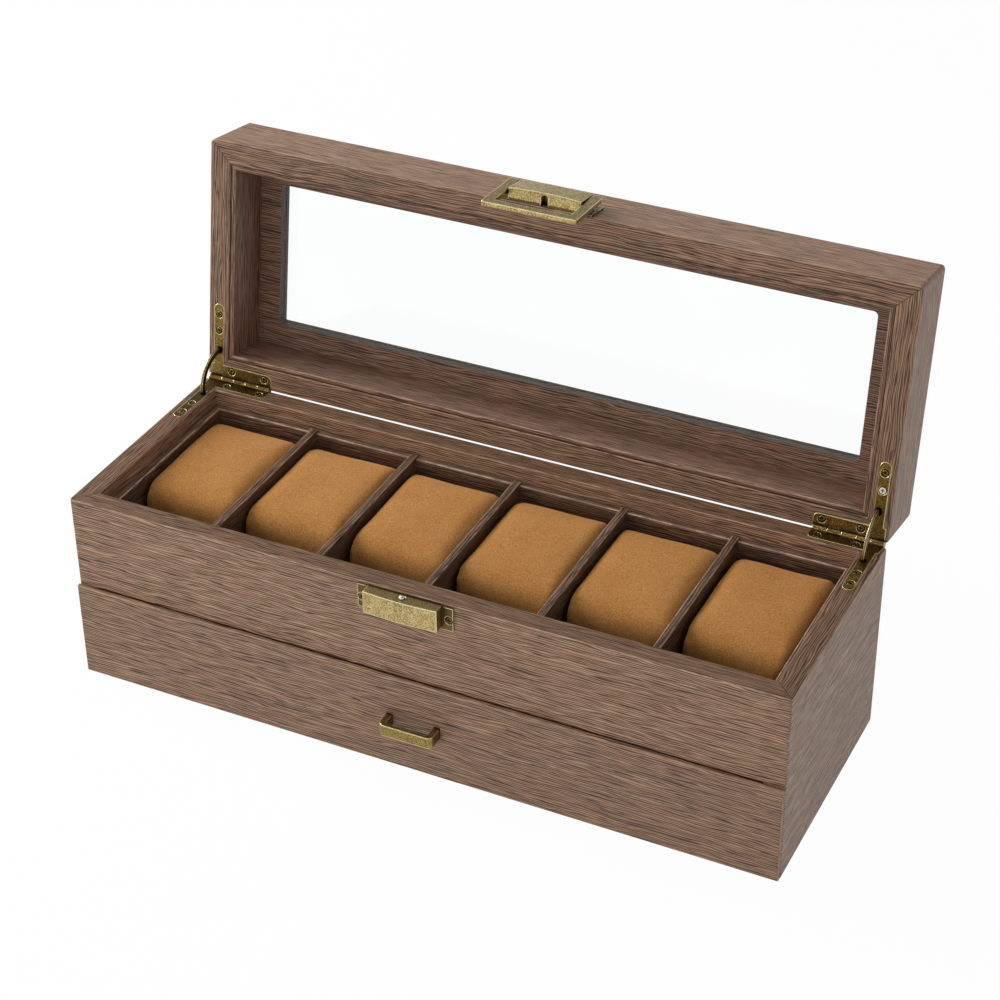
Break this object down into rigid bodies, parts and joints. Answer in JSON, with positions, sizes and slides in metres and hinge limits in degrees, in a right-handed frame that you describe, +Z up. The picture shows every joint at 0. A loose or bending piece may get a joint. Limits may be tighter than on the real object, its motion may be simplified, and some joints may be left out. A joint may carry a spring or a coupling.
{
  "type": "watch storage box",
  "caption": "Hinged box with a glazed lid, cushioned watch compartments, a swing-bail latch and a shallow full-width drawer below.",
  "frame": {"origin": "centre of the case's underside, where the closed box's base outline is centred", "axes": "X along the front towards the viewer's right, Y from the front to the hinges, Z up"},
  "size_m": [0.32, 0.1701, 0.2043],
  "materials": {
    "grain_wrap": "wood-grain leatherette over board, satin",
    "liner_wrap": "dark wood-grain leatherette over thin board, satin",
    "lid_interior_wrap": "wood-grain leatherette over thin board, satin",
    "hidden_board": "wrapped board, satin",
    "suede_lining": "short suede nap, matte",
    "suede_cushion": "short suede nap, matte",
    "antique_brass": "antique brass, fine speckled patina with bright worn edges",
    "bright_nickel": "polished nickel",
    "clear_glass": "clear, polished"
  },
  "bodies": {
    "case": {"case_side_left": "grain_wrap", "case_side_right": "grain_wrap", "case_front_board": "grain_wrap", "case_back_board": "grain_wrap", "case_mid_shelf": "hidden_board", "case_bottom_panel": "hidden_board", "case_hinge_leaf_left": "antique_brass", "case_hinge_leaf_right": "antique_brass", "case_hinge_screws": "antique_brass", "hinge_pins": "antique_brass", "catch_block": "antique_brass", "catch_pin": "bright_nickel", "catch_screws": "antique_brass", "tray_floor_lining": "suede_lining", "tray_liner_front": "liner_wrap", "tray_liner_back": "liner_wrap", "tray_liner_left": "liner_wrap", "tray_liner_right": "liner_wrap", "divider_1": "liner_wrap", "divider_2": "liner_wrap", "divider_3": "liner_wrap", "divider_4": "liner_wrap", "divider_5": "liner_wrap"},
    "lid": {"lid_wall_front": "grain_wrap", "lid_wall_back": "grain_wrap", "lid_wall_left": "grain_wrap", "lid_wall_right": "grain_wrap", "lid_liner_front": "lid_interior_wrap", "lid_liner_back": "lid_interior_wrap", "lid_liner_left": "lid_interior_wrap", "lid_liner_right": "lid_interior_wrap", "lid_top_panel": "grain_wrap", "lid_glass": "clear_glass", "lid_inner_frame": "lid_interior_wrap", "lid_back_strip": "lid_interior_wrap", "lid_hinge_leaf_left": "antique_brass", "lid_hinge_leaf_right": "antique_brass", "lid_hinge_screws": "antique_brass", "latch_block": "antique_brass", "latch_screws": "antique_brass", "bail_pins": "antique_brass"},
    "bail": {"latch_bail": "antique_brass"},
    "stay_left": {"stay_arm_left": "antique_brass"},
    "stay_right": {"stay_arm_right": "antique_brass"},
    "drawer": {"drawer_face_panel": "grain_wrap", "drawer_box_front": "hidden_board", "drawer_side_left": "hidden_board", "drawer_side_right": "hidden_board", "drawer_back": "hidden_board", "drawer_bottom": "hidden_board", "drawer_lining": "suede_lining", "drawer_pull": "antique_brass", "drawer_pull_screws": "antique_brass"},
    "watch_cushion_1": {"cushion_1": "suede_cushion"},
    "watch_cushion_2": {"cushion_2": "suede_cushion"},
    "watch_cushion_3": {"cushion_3": "suede_cushion"},
    "watch_cushion_4": {"cushion_4": "suede_cushion"},
    "watch_cushion_5": {"cushion_5": "suede_cushion"},
    "watch_cushion_6": {"cushion_6": "suede_cushion"}
  },
  "joints": [
    {"name": "lid_hinge", "type": "hinge", "parent": "case", "child": "lid", "pos_m": [0, 0.0556, 0.08865], "axis": [-1, 0, 0], "range_deg": [-99, 0]},
    {"name": "stay_left_hinge", "type": "hinge", "parent": "case", "child": "stay_left", "pos_m": [0, 0.0556, 0.08865], "axis": [-1, 0, 0], "range_deg": [-49.5, 0]},
    {"name": "stay_right_hinge", "type": "hinge", "parent": "case", "child": "stay_right", "pos_m": [0, 0.0556, 0.08865], "axis": [-1, 0, 0], "range_deg": [-49.5, 0]},
    {"name": "bail_hinge", "type": "hinge", "parent": "lid", "child": "bail", "pos_m": [-0.0015, 0.08438, 0.20103], "axis": [-1, 0, 0], "range_deg": [0, 115]},
    {"name": "drawer_slide", "type": "slide", "parent": "case", "child": "drawer", "axis": [0, -1, 0], "range_m": [0, 0.075]},
    {"name": "cushion_1_lift", "type": "slide", "parent": "case", "child": "watch_cushion_1", "axis": [0, 0, 1], "range_m": [0, 0.06]},
    {"name": "cushion_2_lift", "type": "slide", "parent": "case", "child": "watch_cushion_2", "axis": [0, 0, 1], "range_m": [0, 0.06]},
    {"name": "cushion_3_lift", "type": "slide", "parent": "case", "child": "watch_cushion_3", "axis": [0, 0, 1], "range_m": [0, 0.06]},
    {"name": "cushion_4_lift", "type": "slide", "parent": "case", "child": "watch_cushion_4", "axis": [0, 0, 1], "range_m": [0, 0.06]},
    {"name": "cushion_5_lift", "type": "slide", "parent": "case", "child": "watch_cushion_5", "axis": [0, 0, 1], "range_m": [0, 0.06]},
    {"name": "cushion_6_lift", "type": "slide", "parent": "case", "child": "watch_cushion_6", "axis": [0, 0, 1], "range_m": [0, 0.06]}
  ],
  "couplings": [
    {"joint": "stay_left_hinge", "follows": "lid_hinge", "ratio": 0.5},
    {"joint": "stay_right_hinge", "follows": "lid_hinge", "ratio": 0.5}
  ]
}
